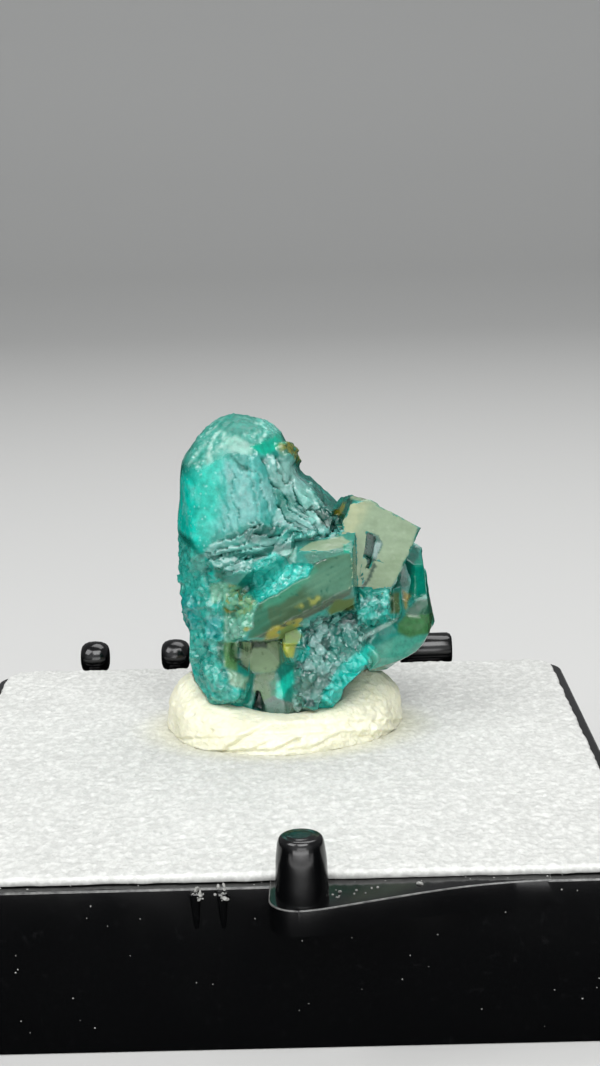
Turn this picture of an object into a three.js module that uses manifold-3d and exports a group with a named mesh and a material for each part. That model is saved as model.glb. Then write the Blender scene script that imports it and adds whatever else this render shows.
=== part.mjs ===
// A dioptase specimen pressed into a ring of cream putty on the foam pad of a small black display box.
// Millimetres, +Z up, X to the right and Y away from a viewer who faces the latch side of the box.
// The origin is the middle of the box's underside.
import * as THREE from "three";
import { mergeVertices } from "three/addons/utils/BufferGeometryUtils.js";
import Module from "manifold-3d";

const wasm = await Module();
wasm.setup();

// Box base
const BOX_SIDE = 32;
const BOX_HEIGHT = 7.3;
const BOX_WALL = 1.1;
const BOX_FLOOR = 1.2;
const BOX_CORNER = 1.6;
const BOX_DRAFT = 0.3;
const RIM_BEVEL = 0.15;

// Latch side of the base: pin, ledge that carries it, and two short ribs
const PIN_X = 1.5;
const PIN_Y = -17.4;
const PIN_RADIUS = 1.05;
const PIN_TOP_RADIUS = 0.95;
const PIN_TOP = 10;
const LEDGE_TOP = 7.1;
const LEDGE_DEPTH = 1.05;
const LEDGE_RADIUS = 1.35;
const LEDGE_END_X = 9;
const RIB_POSITIONS = [-2.86, -1.76];
const RIB_WIDTH = 0.4;
const RIB_PROUD = 0.25;
const RIB_LENGTH = 1.6;

// Hinge side of the base: ears and barrel on one axis
const HINGE_Y = 17.2;
const HINGE_Z = 7.9;
const HINGE_RADIUS = 0.95;
const HINGE_PARTS = [
  { x: -10.8, length: 1.6 },
  { x: -6.1, length: 1.6 },
  { x: 8.5, length: 3.0 },
];

// Foam pad
const FOAM_GAP = 0.15;
const FOAM_TOP = 7.65;
const FOAM_EDGE = 0.55;

// Putty ring
const PUTTY_CENTRE = [0.5, 4.2];
const PUTTY_HALF_WIDTH = 5.8;
const PUTTY_HALF_DEPTH = 4.5;
const PUTTY_FRONT_HEIGHT = 1.55;
const PUTTY_SIDE_HEIGHT = 2.85;
const PUTTY_STEPS = 40;
const SOCKET_GAP = 0.3;

// Crystals of the cluster. Each is a solid bounded by flat faces, and each face is
// [azimuth, tilt, distance from the crystal's middle]: azimuth 0 faces the viewer, 90 faces right,
// and a positive tilt leans the face upwards.
const CRYSTALS = {
  upper: {
    middle: [-1.2, 4.6, 18.4],
    faces: [
      [-8, 14, 3.2], [-5, -42, 3.2], [-22, 46, 4.4], [-72, 4, 3.3], [-100, 8, 3.4], [-95, -22, 3.5],
      [-95, 38, 4.2], [-80, 62, 5.0], [30, 80, 5.1], [75, 62, 4.75], [90, 27, 3.6], [80, 5, 2.9],
      [40, 40, 4.1], [38, 14, 3.1], [60, -30, 3.0], [180, 50, 4.4], [180, 8, 3.2], [-140, 6, 3.4],
      [140, 14, 3.0], [0, -90, 4.5],
    ],
  },
  shoulder: {
    middle: [1.4, 4.6, 17.6],
    faces: [
      [90, 44, 2.25], [16, 30, 2.45], [82, -4, 1.9], [10, -10, 2.4], [180, 5, 2.6], [-90, 0, 3],
      [-60, 60, 2.4], [0, -90, 3],
    ],
  },
  ledge: {
    middle: [-1.6, 3.4, 16.2],
    faces: [
      [-6, 40, 2.2], [-20, -30, 1.9], [39, -49, 1.4], [-68, -2, 1.9], [60, 15, 3.6], [180, 0, 2.5],
      [0, 90, 2],
    ],
  },
  block: {
    middle: [5.5, 4.2, 17.3],
    faces: [
      [5, 9, 1.9], [122, 56, 1.17], [-96, -63, 2.1], [95, -27, 1.3], [-85, 27, 2.35], [-40, 70, 2.75],
      [180, 0, 1.9],
    ],
  },
  prism: {
    middle: [1.2, 2.1, 15.0],
    faces: [
      [-10, 18, 1.7], [20, -34, 1.95], [-12, 72, 2.65], [170, -18, 1.4], [-160, 34, 1.4],
      [111, -60, 1.35], [83, 2, 3.15], [-96, -27, 2.8], [-62, 40, 1.75],
    ],
  },
  left: {
    middle: [-3.0, 4.0, 14.6],
    faces: [
      [-88, -2, 1.5], [-40, 4, 1.75], [0, 8, 2.1], [90, 0, 2], [-60, -50, 1.6], [0, 90, 2.5],
      [180, 0, 2.6],
    ],
  },
  lowLeft: {
    middle: [-2.5, 3.8, 11.4],
    faces: [
      [-86, 4, 1.8], [-70, -42, 1.9], [-42, -4, 1.8], [0, 4, 2.15], [0, -75, 2.25], [80, 0, 0.75],
      [0, 90, 3], [180, 0, 2.6],
    ],
  },
  foot: {
    middle: [-2.0, 2.6, 10.4],
    faces: [
      [-5, 2, 1.4], [-55, 0, 1.45], [68, -8, 0.95], [0, 55, 1.5], [0, -70, 1.0], [-50, -45, 1.25],
      [40, 30, 1.35], [-90, 5, 1.6], [0, 90, 1.3], [180, 0, 1.2],
    ],
  },
  recess: {
    middle: [0, 4.6, 11.4],
    faces: [[-8, 8, 2.2], [0, 90, 3], [-90, 0, 2.4], [90, 0, 2.4], [0, -80, 3.05], [180, 0, 2.4]],
  },
  lowRight: {
    middle: [2.6, 3.6, 11.6],
    faces: [
      [5, 10, 2.5], [0, -30, 2.9], [-50, 0, 2.6], [70, -42, 2.25], [0, -85, 3.05], [60, 5, 2.75],
      [0, 50, 3.4], [90, 10, 3.3], [0, 90, 3.2], [180, 0, 3],
    ],
  },
  roundLump: {
    middle: [1.9, 1.7, 10.3],
    faces: [
      [0, 0, 0.85], [45, 25, 0.85], [-45, 25, 0.85], [40, -35, 0.85], [-40, -35, 0.85], [0, 60, 0.9],
      [90, 0, 0.95], [-90, 0, 0.95], [0, -70, 0.9], [180, 0, 1.2],
    ],
  },
  lobe: {
    middle: [6.4, 4.4, 12.4],
    faces: [
      [85, 10, 1.75], [80, -35, 1.35], [40, -62, 1.55], [20, 5, 1.7], [20, 60, 1.55], [60, -15, 1.75],
      [-90, 0, 2.5], [180, 0, 2.2],
    ],
  },
  slim: {
    middle: [7.3, 5.6, 15.3],
    faces: [
      [90, 4, 0.5], [30, 0, 0.8], [-30, 0, 0.8], [-90, 0, 0.8], [150, 0, 0.8], [-150, 0, 0.8],
      [40, 60, 0.75], [0, -90, 2],
    ],
  },
  druseBlock: {
    middle: [4.9, 3.0, 14.4],
    faces: [[0, 15, 1.45], [0, 70, 1.15], [-80, 0, 0.75], [80, 0, 1.2], [0, -60, 1.3], [180, 0, 1.4]],
  },
  strip: {
    middle: [6.0, 3.4, 14.5],
    faces: [
      [30, 10, 1.15], [-30, 10, 1.05], [90, 0, 0.5], [-90, 0, 0.6], [0, -80, 1.1], [0, 80, 0.85],
      [180, 0, 1.4],
    ],
  },
  yellow: {
    middle: [0.95, 1.35, 12.75],
    faces: [
      [-20, 25, 0.85], [30, -10, 0.8], [-60, -30, 0.65], [60, 40, 0.9], [-70, 20, 0.75],
      [70, -20, 0.8], [0, -70, 0.95], [0, 80, 0.8], [180, 0, 1.2],
    ],
  },
  backUpper: {
    middle: [1.0, 6.4, 17.0],
    faces: [
      [160, 20, 1.7], [-150, 10, 1.9], [100, 35, 2.2], [90, -5, 2.4], [-90, 0, 3], [0, 0, 2],
      [170, -40, 2.2], [0, -90, 3.5], [0, 80, 3],
    ],
  },
  backLow: {
    middle: [-1.2, 6.0, 11.9],
    faces: [
      [-160, 15, 1.9], [150, 5, 2.1], [-100, 0, 2.4], [180, -35, 2.1], [-110, -40, 2.6], [90, 0, 2.2],
      [0, 0, 2], [170, 60, 2.6], [0, -90, 2.8],
    ],
  },
  backRight: {
    middle: [3.9, 6.0, 13.2],
    faces: [
      [165, 10, 1.9], [120, 15, 2.2], [95, -10, 2.6], [150, -45, 2.4], [150, 55, 2.3], [-90, 0, 2.4],
      [0, 0, 2], [0, -80, 3.6],
    ],
  },
  core: {
    middle: [1.2, 4.8, 13.6],
    faces: [
      [0, 0, 2.2], [90, 0, 4.0], [-90, 0, 3.6], [180, 0, 2.2], [0, 90, 4], [0, -90, 4.6],
      [45, 0, 3.7], [-45, 0, 3.9], [135, 0, 3.6], [-135, 0, 3.7], [90, -40, 4.2], [180, -45, 4.0],
    ],
  },
};

// Small blocks grown or broken on the larger crystals:
// [x, y, z], [width, depth, height], [turn about X, Y, Z in degrees]
const STEPS_OF_BROKEN_SLOPE = [
  [[-0.2, 2.5, 19.9], [1.7, 0.8, 0.7], [-20, 48, 24]],
  [[0.4, 2.9, 20.9], [1.6, 0.9, 0.6], [-25, 55, 20]],
  [[1.0, 3.3, 21.0], [1.5, 0.9, 0.7], [-15, 60, 14]],
  [[1.3, 3.0, 19.9], [2.1, 0.8, 0.6], [-28, 46, 16]],
  [[1.9, 3.4, 19.7], [1.9, 0.9, 0.6], [-30, 50, 10]],
  [[2.5, 3.4, 19.0], [1.4, 0.9, 0.6], [-35, 44, 6]],
  [[1.4, 2.6, 18.8], [1.8, 0.7, 0.5], [-30, 28, 10]],
];
const CRUMPLED_LEDGE = [
  [[-2.6, 1.8, 16.9], [0.9, 0.8, 0.7], [30, 20, -25]],
  [[-2.0, 1.6, 16.6], [0.8, 0.9, 0.6], [38, -15, 10]],
  [[-1.4, 1.6, 16.9], [1.0, 0.8, 0.7], [25, -25, 18]],
  [[-0.7, 1.9, 17.2], [1.2, 0.8, 0.6], [42, -18, 5]],
  [[0.2, 2.1, 17.5], [1.5, 0.8, 0.5], [35, -12, 0]],
  [[1.4, 2.3, 17.9], [1.8, 0.8, 0.45], [30, -14, 4]],
];
const BLOCKS_AT_PRISM_END = [
  [[-0.95, 1.4, 14.9], [0.8, 0.8, 0.8], [14, -28, -8]],
  [[-1.5, 1.5, 13.6], [1.0, 1.0, 1.0], [6, -6, -8]],
  [[-1.75, 1.8, 14.9], [0.9, 0.8, 0.8], [10, -24, -14]],
  [[-0.4, 1.2, 14.6], [0.7, 0.7, 0.6], [16, -26, -6]],
];

// Hollow broken out of the prism's upper edge, and the pit and crack in the block's flat face
const HOLLOW = { middle: [0.35, 0.55, 16.75], radius: 0.95, stretch: [1.35, 0.85, 0.8] };
const PIT = [[4.85, 18.0], [5.3, 17.8], [5.15, 17.1], [4.98, 16.6], [4.66, 16.85], [4.76, 17.4]];
const PIT_FLOOR_Y = 2.75;
const CRACK = { middle: [4.78, 2.3, 16.15], size: [0.16, 0.5, 1.2], lean: 21 };

// Druse: zones of small crystals, as seen from the latch side (front) or the hinge side (back)
const DRUSE = [
  { side: "front", x: [-4.3, -2.3], z: [9.6, 15.8], count: 26, size: [0.45, 0.8] },
  { side: "front", x: [1.2, 5.2], z: [9.2, 14.2], count: 34, size: [0.45, 0.9] },
  { side: "front", x: [4.2, 5.9], z: [13.7, 15.2], count: 9, size: [0.35, 0.6] },
  { side: "back", x: [-3.2, 5.8], z: [9.4, 16.8], count: 40, size: [0.5, 1.1] },
];

function faceNormal(azimuth, tilt) {
  const a = THREE.MathUtils.degToRad(azimuth);
  const t = THREE.MathUtils.degToRad(tilt);
  return new THREE.Vector3(Math.sin(a) * Math.cos(t), -Math.cos(a) * Math.cos(t), Math.sin(t));
}

function toSolid(geometry) {
  const plain = geometry.clone();
  plain.deleteAttribute("normal");
  plain.deleteAttribute("uv");
  const merged = mergeVertices(plain, 1e-5);
  const vertProperties = new Float32Array(merged.attributes.position.array);
  const triVerts = new Uint32Array(merged.index.array);
  return new wasm.Manifold(new wasm.Mesh({ numProp: 3, vertProperties, triVerts }));
}

function toGeometry(solid) {
  const mesh = solid.getMesh();
  const geometry = new THREE.BufferGeometry();
  geometry.setAttribute("position", new THREE.BufferAttribute(new Float32Array(mesh.vertProperties), 3));
  geometry.setIndex(new THREE.BufferAttribute(new Uint32Array(mesh.triVerts), 1));
  const flat = geometry.toNonIndexed();
  flat.computeVertexNormals();
  return flat;
}

function join(solids) {
  return solids.reduce((whole, piece) => whole.add(piece));
}

function crystal({ middle, faces }) {
  const reach = 8;
  const centre = new THREE.Vector3(...middle);
  const start = new THREE.BoxGeometry(2 * reach, 2 * reach, 2 * reach);
  start.translate(centre.x, centre.y, centre.z);
  let solid = toSolid(start);
  for (const [azimuth, tilt, distance] of faces) {
    const normal = faceNormal(azimuth, tilt);
    const waste = new THREE.BoxGeometry(6 * reach, 6 * reach, 6 * reach);
    waste.translate(0, 0, 3 * reach + distance);
    waste.applyQuaternion(new THREE.Quaternion().setFromUnitVectors(new THREE.Vector3(0, 0, 1), normal));
    waste.translate(centre.x, centre.y, centre.z);
    solid = solid.subtract(toSolid(waste));
  }
  return solid;
}

function smallBlock([middle, size, turn]) {
  const block = new THREE.BoxGeometry(...size);
  const angles = turn.map((degrees) => THREE.MathUtils.degToRad(degrees));
  block.applyQuaternion(new THREE.Quaternion().setFromEuler(new THREE.Euler(...angles)));
  block.translate(...middle);
  return toSolid(block);
}

function brokenHollow() {
  const hollow = new THREE.IcosahedronGeometry(HOLLOW.radius, 0);
  hollow.scale(...HOLLOW.stretch);
  hollow.rotateY(-0.5);
  hollow.translate(...HOLLOW.middle);
  return toSolid(hollow);
}

function pitInBlock() {
  const shape = new THREE.Shape(PIT.map(([x, z]) => new THREE.Vector2(x, z)));
  const pit = new THREE.ExtrudeGeometry(shape, { depth: 3, bevelEnabled: false });
  pit.rotateX(Math.PI / 2);
  pit.translate(0, PIT_FLOOR_Y, 0);
  const crack = new THREE.BoxGeometry(...CRACK.size);
  crack.rotateY(THREE.MathUtils.degToRad(CRACK.lean));
  crack.translate(...CRACK.middle);
  return toSolid(pit).add(toSolid(crack));
}

let seed = 11;
function random(low, high) {
  seed = (seed * 16807) % 2147483647;
  return low + ((high - low) * seed) / 2147483647;
}

function druse(solid) {
  const surface = new THREE.Mesh(toGeometry(solid));
  const caster = new THREE.Raycaster();
  const grains = [];
  for (const { side, x, z, count, size } of DRUSE) {
    const inward = side === "front" ? 1 : -1;
    for (let i = 0; i < count; i += 1) {
      const from = new THREE.Vector3(random(...x), -30 * inward, random(...z));
      const edge = random(...size);
      const spin = random(0, Math.PI);
      caster.set(from, new THREE.Vector3(0, inward, 0));
      const [hit] = caster.intersectObject(surface);
      if (hit) {
        const grain = new THREE.BoxGeometry(edge, edge, edge);
        const corner = new THREE.Vector3(1, 1, 1).normalize();
        grain.applyQuaternion(new THREE.Quaternion().setFromAxisAngle(corner, spin));
        grain.applyQuaternion(new THREE.Quaternion().setFromUnitVectors(corner, hit.face.normal));
        const middle = hit.point.addScaledVector(hit.face.normal, -0.3 * edge);
        grain.translate(middle.x, middle.y, middle.z);
        grains.push(toSolid(grain));
      }
    }
  }
  return grains;
}

function buildCluster() {
  const prism = crystal(CRYSTALS.prism).subtract(brokenHollow());
  const block = crystal(CRYSTALS.block).subtract(pitInBlock());
  const others = Object.keys(CRYSTALS).filter((name) => name !== "prism" && name !== "block");
  const blocks = [...STEPS_OF_BROKEN_SLOPE, ...CRUMPLED_LEDGE, ...BLOCKS_AT_PRISM_END];
  const grown = join([
    prism, block, ...others.map((name) => crystal(CRYSTALS[name])), ...blocks.map(smallBlock),
  ]);
  return join([grown, ...druse(grown)]);
}

function roundedSquare(side, corner) {
  const h = side / 2;
  const shape = new THREE.Shape();
  shape.moveTo(-h + corner, -h);
  shape.lineTo(h - corner, -h);
  shape.absarc(h - corner, -h + corner, corner, -Math.PI / 2, 0, false);
  shape.lineTo(h, h - corner);
  shape.absarc(h - corner, h - corner, corner, 0, Math.PI / 2, false);
  shape.lineTo(-h + corner, h);
  shape.absarc(-h + corner, h - corner, corner, Math.PI / 2, Math.PI, false);
  shape.lineTo(-h, -h + corner);
  shape.absarc(-h + corner, -h + corner, corner, Math.PI, 1.5 * Math.PI, false);
  return shape;
}

function slab(shape, bottom, top, bevel, curveSegments) {
  const geometry = new THREE.ExtrudeGeometry(shape, {
    depth: top - bottom - 2 * bevel,
    bevelEnabled: bevel > 0,
    bevelThickness: bevel,
    bevelSize: bevel,
    bevelOffset: -bevel,
    bevelSegments: 1,
    curveSegments,
  });
  geometry.translate(0, 0, bottom + bevel);
  return geometry;
}

function tapered(geometry, side, inset) {
  const position = geometry.attributes.position;
  for (let i = 0; i < position.count; i += 1) {
    const depth = 1 - position.getZ(i) / BOX_HEIGHT;
    const factor = 1 - (2 * inset * depth) / side;
    position.setX(i, position.getX(i) * factor);
    position.setY(i, position.getY(i) * factor);
  }
  return geometry;
}

function barrel(radius, length, rounding) {
  const profile = [
    new THREE.Vector2(0, -length / 2),
    new THREE.Vector2(radius - rounding, -length / 2),
    new THREE.Vector2(radius - 0.3 * rounding, -length / 2 + 0.3 * rounding),
    new THREE.Vector2(radius, -length / 2 + rounding),
    new THREE.Vector2(radius, length / 2 - rounding),
    new THREE.Vector2(radius - 0.3 * rounding, length / 2 - 0.3 * rounding),
    new THREE.Vector2(radius - rounding, length / 2),
    new THREE.Vector2(0, length / 2),
  ];
  return new THREE.LatheGeometry(profile, 20);
}

function buildBase() {
  const outer = tapered(
    slab(roundedSquare(BOX_SIDE, BOX_CORNER), 0, BOX_HEIGHT, RIM_BEVEL, 5), BOX_SIDE, BOX_DRAFT);
  const innerSide = BOX_SIDE - 2 * BOX_WALL;
  const inner = tapered(
    slab(roundedSquare(innerSide, BOX_CORNER - 0.8), BOX_FLOOR, BOX_HEIGHT + 1, 0, 4), BOX_SIDE, BOX_DRAFT);
  const pieces = [toSolid(outer).subtract(toSolid(inner))];

  const ledge = new THREE.Shape();
  const wallY = -BOX_SIDE / 2 + 0.4;
  ledge.moveTo(LEDGE_END_X, wallY);
  ledge.lineTo(PIN_X - LEDGE_RADIUS, wallY);
  ledge.lineTo(PIN_X - LEDGE_RADIUS, PIN_Y);
  ledge.absarc(PIN_X, PIN_Y, LEDGE_RADIUS, Math.PI, 1.55 * Math.PI, false);
  ledge.lineTo(LEDGE_END_X, -BOX_SIDE / 2);
  pieces.push(toSolid(slab(ledge, LEDGE_TOP - LEDGE_DEPTH, LEDGE_TOP, 0.1, 10)));

  const pin = new THREE.LatheGeometry([
    new THREE.Vector2(0, LEDGE_TOP - 0.5),
    new THREE.Vector2(PIN_RADIUS, LEDGE_TOP - 0.5),
    new THREE.Vector2(PIN_RADIUS, LEDGE_TOP),
    new THREE.Vector2(PIN_TOP_RADIUS, PIN_TOP - 0.4),
    new THREE.Vector2(PIN_TOP_RADIUS - 0.13, PIN_TOP - 0.13),
    new THREE.Vector2(PIN_TOP_RADIUS - 0.42, PIN_TOP),
    new THREE.Vector2(0, PIN_TOP),
  ], 24);
  pin.rotateX(Math.PI / 2);
  pin.translate(PIN_X, PIN_Y, 0);
  pieces.push(toSolid(pin));

  for (const x of RIB_POSITIONS) {
    const rib = new THREE.BoxGeometry(RIB_WIDTH, 1, RIB_LENGTH);
    rib.translate(x, -BOX_SIDE / 2 - RIB_PROUD + 0.5, BOX_HEIGHT - 0.15 - RIB_LENGTH / 2);
    pieces.push(toSolid(rib));
  }

  for (const { x, length } of HINGE_PARTS) {
    const ear = barrel(HINGE_RADIUS, length, 0.35);
    ear.rotateZ(Math.PI / 2);
    ear.translate(x, HINGE_Y, HINGE_Z);
    pieces.push(toSolid(ear));
    const web = new THREE.BoxGeometry(length - 0.5, HINGE_Y - BOX_SIDE / 2 + 0.5, 1.2);
    web.translate(x, (HINGE_Y + BOX_SIDE / 2 - 0.5) / 2, BOX_HEIGHT - 0.75);
    pieces.push(toSolid(web));
  }
  return join(pieces);
}

function buildFoam() {
  const side = BOX_SIDE - 2 * BOX_WALL - 2 * BOX_DRAFT - 2 * FOAM_GAP;
  return toSolid(slab(roundedSquare(side, 1.4), BOX_FLOOR, FOAM_TOP, FOAM_EDGE, 4));
}

function buildPutty(cluster) {
  const profile = [[0, 0], [0.95, 0], [1.02, 0.16], [1.04, 0.4], [1.0, 0.66], [0.92, 0.87], [0.8, 1],
    [0.66, 0.96], [0.5, 0.8], [0.3, 0.7], [0, 0.66]];
  const ring = new THREE.LatheGeometry(profile.map(([r, h]) => new THREE.Vector2(r, h)), PUTTY_STEPS);
  ring.rotateX(Math.PI / 2);
  const position = ring.attributes.position;
  for (let i = 0; i < position.count; i += 1) {
    const x = position.getX(i);
    const y = position.getY(i);
    const angle = Math.atan2(y, x);
    const front = Math.max(0, -Math.sin(angle));
    const height = PUTTY_SIDE_HEIGHT + (PUTTY_FRONT_HEIGHT - PUTTY_SIDE_HEIGHT) * front ** 0.8;
    const lump = 1 + 0.025 * Math.sin(3 * angle + 0.7) + 0.015 * Math.sin(7 * angle);
    position.setX(i, PUTTY_CENTRE[0] + x * PUTTY_HALF_WIDTH * lump);
    position.setY(i, PUTTY_CENTRE[1] + y * PUTTY_HALF_DEPTH * lump);
    position.setZ(i, FOAM_TOP + position.getZ(i) * height);
  }
  const shifts = [[1, 0, 0], [-1, 0, 0], [0, 1, 0], [0, -1, 0], [0, 0, -1]];
  const socket = join(shifts.map((s) => cluster.translate(s.map((v) => v * SOCKET_GAP))));
  return toSolid(ring).subtract(socket);
}

function part(name, solid, colour, roughness) {
  const material = new THREE.MeshStandardMaterial({ color: colour, roughness, metalness: 0 });
  const mesh = new THREE.Mesh(toGeometry(solid), material);
  mesh.name = name;
  return mesh;
}

const cluster = buildCluster();
const specimen = new THREE.Group();
specimen.name = "dioptase_specimen";
specimen.add(part("dioptase_cluster", cluster, 0x38a090, 0.25));
specimen.add(part("mounting_putty", buildPutty(cluster), 0xf4f2dc, 0.75));
specimen.add(part("foam_pad", buildFoam(), 0xe6e7e2, 0.95));
specimen.add(part("box_base", buildBase(), 0x0a0a0c, 0.2));

export default specimen;
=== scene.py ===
import math
import random

import bmesh
import bpy
import numpy as np
from mathutils import Matrix, Vector, noise
from mathutils.bvhtree import BVHTree


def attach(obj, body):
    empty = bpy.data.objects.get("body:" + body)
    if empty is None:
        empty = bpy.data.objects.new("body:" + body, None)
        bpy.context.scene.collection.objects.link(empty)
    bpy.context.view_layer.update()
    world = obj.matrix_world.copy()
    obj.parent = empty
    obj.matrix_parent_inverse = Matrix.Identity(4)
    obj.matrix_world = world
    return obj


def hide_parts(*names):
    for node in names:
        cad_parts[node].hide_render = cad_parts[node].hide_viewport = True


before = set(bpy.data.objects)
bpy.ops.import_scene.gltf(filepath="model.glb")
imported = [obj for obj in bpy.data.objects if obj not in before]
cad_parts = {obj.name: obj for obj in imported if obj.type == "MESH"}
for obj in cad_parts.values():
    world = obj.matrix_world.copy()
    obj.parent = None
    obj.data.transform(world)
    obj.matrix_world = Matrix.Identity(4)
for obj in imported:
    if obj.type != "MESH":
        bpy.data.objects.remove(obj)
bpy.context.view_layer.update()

# Box base: the shallow lower half of a hinged display box, injection moulded in glossy black
# polystyrene in one shot, so the latch ledge with its pin, the two ribs and the hinge ears are all
# one piece with the walls. The walls lean in a little towards the underside to leave the mould.
MM = 0.001
SIDE, TALL, WALL, FLOOR, CORNER, LEAN = 32 * MM, 7.3 * MM, 1.1 * MM, 1.2 * MM, 1.6 * MM, 0.3 * MM
LEDGE_TOP, LEDGE_THICK = 7.32 * MM, 1.1 * MM
PIN = Vector((1.5, -17.22, 0)) * MM
HINGE = Vector((0, 17.2, 7.9)) * MM


def add_to(whole, shape):
    shape_mesh = bpy.data.meshes.new("moulding")
    shape.to_mesh(shape_mesh)
    shape.free()
    whole.from_mesh(shape_mesh)
    bpy.data.meshes.remove(shape_mesh)


def bevel_sharp(shape, width, segments=3, angle=0.6):
    sharp = [e for e in shape.edges if e.is_manifold and e.calc_face_angle() > angle]
    bmesh.ops.bevel(shape, geom=sharp, offset=width, offset_type="OFFSET", segments=segments,
                    profile=0.5, affect="EDGES", material=-1, clamp_overlap=True)


def turned(profile, centre, axis, steps):
    shape = bmesh.new()
    points = [shape.verts.new(p) for p in profile]
    line = [shape.edges.new(pair) for pair in zip(points, points[1:])]
    bmesh.ops.spin(shape, geom=points + line, cent=centre, axis=axis, angle=2 * math.pi, steps=steps,
                   use_merge=True)
    bmesh.ops.remove_doubles(shape, verts=shape.verts, dist=1e-7)
    bmesh.ops.recalc_face_normals(shape, faces=shape.faces)
    return shape


def finished(name, shape, material, smooth_angle=30):
    mesh = bpy.data.meshes.new(name)
    shape.to_mesh(mesh)
    shape.free()
    mesh.shade_smooth()
    mesh.set_sharp_from_angle(angle=math.radians(smooth_angle))
    mesh.materials.append(material)
    piece = bpy.data.objects.new(name, mesh)
    bpy.context.scene.collection.objects.link(piece)
    return piece


def new_material(name):
    material = bpy.data.materials.new(name)
    material.use_nodes = True
    return material, material.node_tree.nodes["Principled BSDF"]


def feed(owner, node, feeds):
    for socket, value in feeds.items():
        if isinstance(value, bpy.types.NodeSocket):
            owner.node_tree.links.new(value, node.inputs[socket])
        else:
            node.inputs[socket].default_value = value
    return node


def wired(owner, kind, feeds, **settings):
    node = owner.node_tree.nodes.new("ShaderNode" + kind)
    for name, value in settings.items():
        setattr(node, name, value)
    return feed(owner, node, feeds)


def ranged(owner, value, from_min, from_max, to_min, to_max, **settings):
    return wired(owner, "MapRange", {"Value": value, "From Min": from_min, "From Max": from_max,
                                     "To Min": to_min, "To Max": to_max}, **settings).outputs["Result"]


def tinted(owner, value, low, high, start=0, end=1):
    node = wired(owner, "ValToRGB", {"Fac": value})
    for stop, position, shade in zip(node.color_ramp.elements, (start, end), (low, high)):
        stop.position, stop.color = position, (*shade, 1)
    return node.outputs["Color"]


def speckle(owner, place, scale, detail, **feeds):
    return wired(owner, "TexNoise", {"Vector": place, "Scale": scale, "Detail": detail,
                                     **feeds}).outputs["Fac"]


def bumped(owner, height, strength, distance, **feeds):
    return wired(owner, "Bump", {"Height": height, "Strength": strength, "Distance": distance * MM,
                                 **feeds}).outputs["Normal"]


base = bmesh.new()
tray = bmesh.new()
bmesh.ops.create_cube(tray, size=1)
bmesh.ops.scale(tray, vec=(SIDE, SIDE, TALL), verts=tray.verts)
bmesh.ops.translate(tray, vec=(0, 0, TALL / 2), verts=tray.verts)
foot = [v for v in tray.verts if v.co.z < TALL / 2]
bmesh.ops.scale(tray, vec=(1 - 2 * LEAN / SIDE, 1 - 2 * LEAN / SIDE, 1), verts=foot)
upright = [e for e in tray.edges if abs(e.verts[0].co.z - e.verts[1].co.z) > TALL / 2]
bmesh.ops.bevel(tray, geom=upright, offset=CORNER, offset_type="OFFSET", segments=9, profile=0.5,
                affect="EDGES", material=-1)
mouth = max(tray.faces, key=lambda f: f.calc_center_median().z)
bmesh.ops.inset_individual(tray, faces=[mouth], thickness=WALL, depth=0)
sunk = bmesh.ops.extrude_discrete_faces(tray, faces=[mouth])["faces"][0]
bmesh.ops.translate(tray, vec=(0, 0, FLOOR - TALL), verts=sunk.verts)
bmesh.ops.scale(tray, vec=(1 - 2 * LEAN / SIDE, 1 - 2 * LEAN / SIDE, 1), verts=sunk.verts)
rim_edge = [e for e in tray.edges if all(v.co.z > TALL - 1e-6 and max(abs(v.co.x), abs(v.co.y)) > 15.3 * MM
                                         for v in e.verts)]
bmesh.ops.bevel(tray, geom=rim_edge, offset=0.08 * MM, offset_type="OFFSET", segments=4, profile=0.5,
                affect="EDGES", material=1)
bevel_sharp(tray, 0.12 * MM)
add_to(base, tray)

ledge = bmesh.new()
outline = [(11.6, -14.93), (0.15, -14.93), (0.15, -18.5), (1.9, -18.5), (6.6, -16.85), (9.0, -16.2),
           (11.6, -15.98)]
plate = ledge.faces.new([ledge.verts.new((x * MM, y * MM, LEDGE_TOP - LEDGE_THICK)) for x, y in outline])
lifted = bmesh.ops.extrude_face_region(ledge, geom=[plate])["geom"]
bmesh.ops.translate(ledge, vec=(0, 0, LEDGE_THICK),
                    verts=[v for v in lifted if isinstance(v, bmesh.types.BMVert)])
bmesh.ops.recalc_face_normals(ledge, faces=ledge.faces)
for corner_x, corner_y, radius in ((0.15, -18.5, 1.2), (1.9, -18.5, 0.9), (6.6, -16.85, 1.2),
                                   (9.0, -16.2, 1.2)):
    stands = [e for e in ledge.edges if all(
        abs(v.co.x - corner_x * MM) < 1e-6 and abs(v.co.y - corner_y * MM) < 1e-6 for v in e.verts)]
    bmesh.ops.bevel(ledge, geom=stands, offset=radius * MM, offset_type="OFFSET", segments=10, profile=0.5,
                    affect="EDGES", material=-1)
rolled = [e for e in ledge.edges if e.calc_face_angle() > 0.6 and min(v.co.y for v in e.verts) < -15.5 * MM
          and min(v.co.z for v in e.verts) > LEDGE_TOP - 1e-6]
bmesh.ops.bevel(ledge, geom=rolled, offset=0.22 * MM, offset_type="OFFSET", segments=5, profile=0.5,
                affect="EDGES", material=1, clamp_overlap=True)
add_to(base, ledge)

pin_profile = [(0, 6.5), (1.09, 6.5), (1.078, 7.3), (1.067, 8.05), (1.032, 8.62), (1.027, 8.92),
               (1.003, 9.17), (0.966, 9.47), (0.938, 9.67), (0.9, 9.8), (0.85, 9.89), (0.78, 9.94),
               (0.7, 9.96), (0.6, 9.96), (0.56, 9.98), (0.4, 9.99), (0, 10.0)]
add_to(base, turned([PIN + Vector((r * MM, 0, z * MM)) for r, z in pin_profile], PIN, (0, 0, 1), 40))

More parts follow.
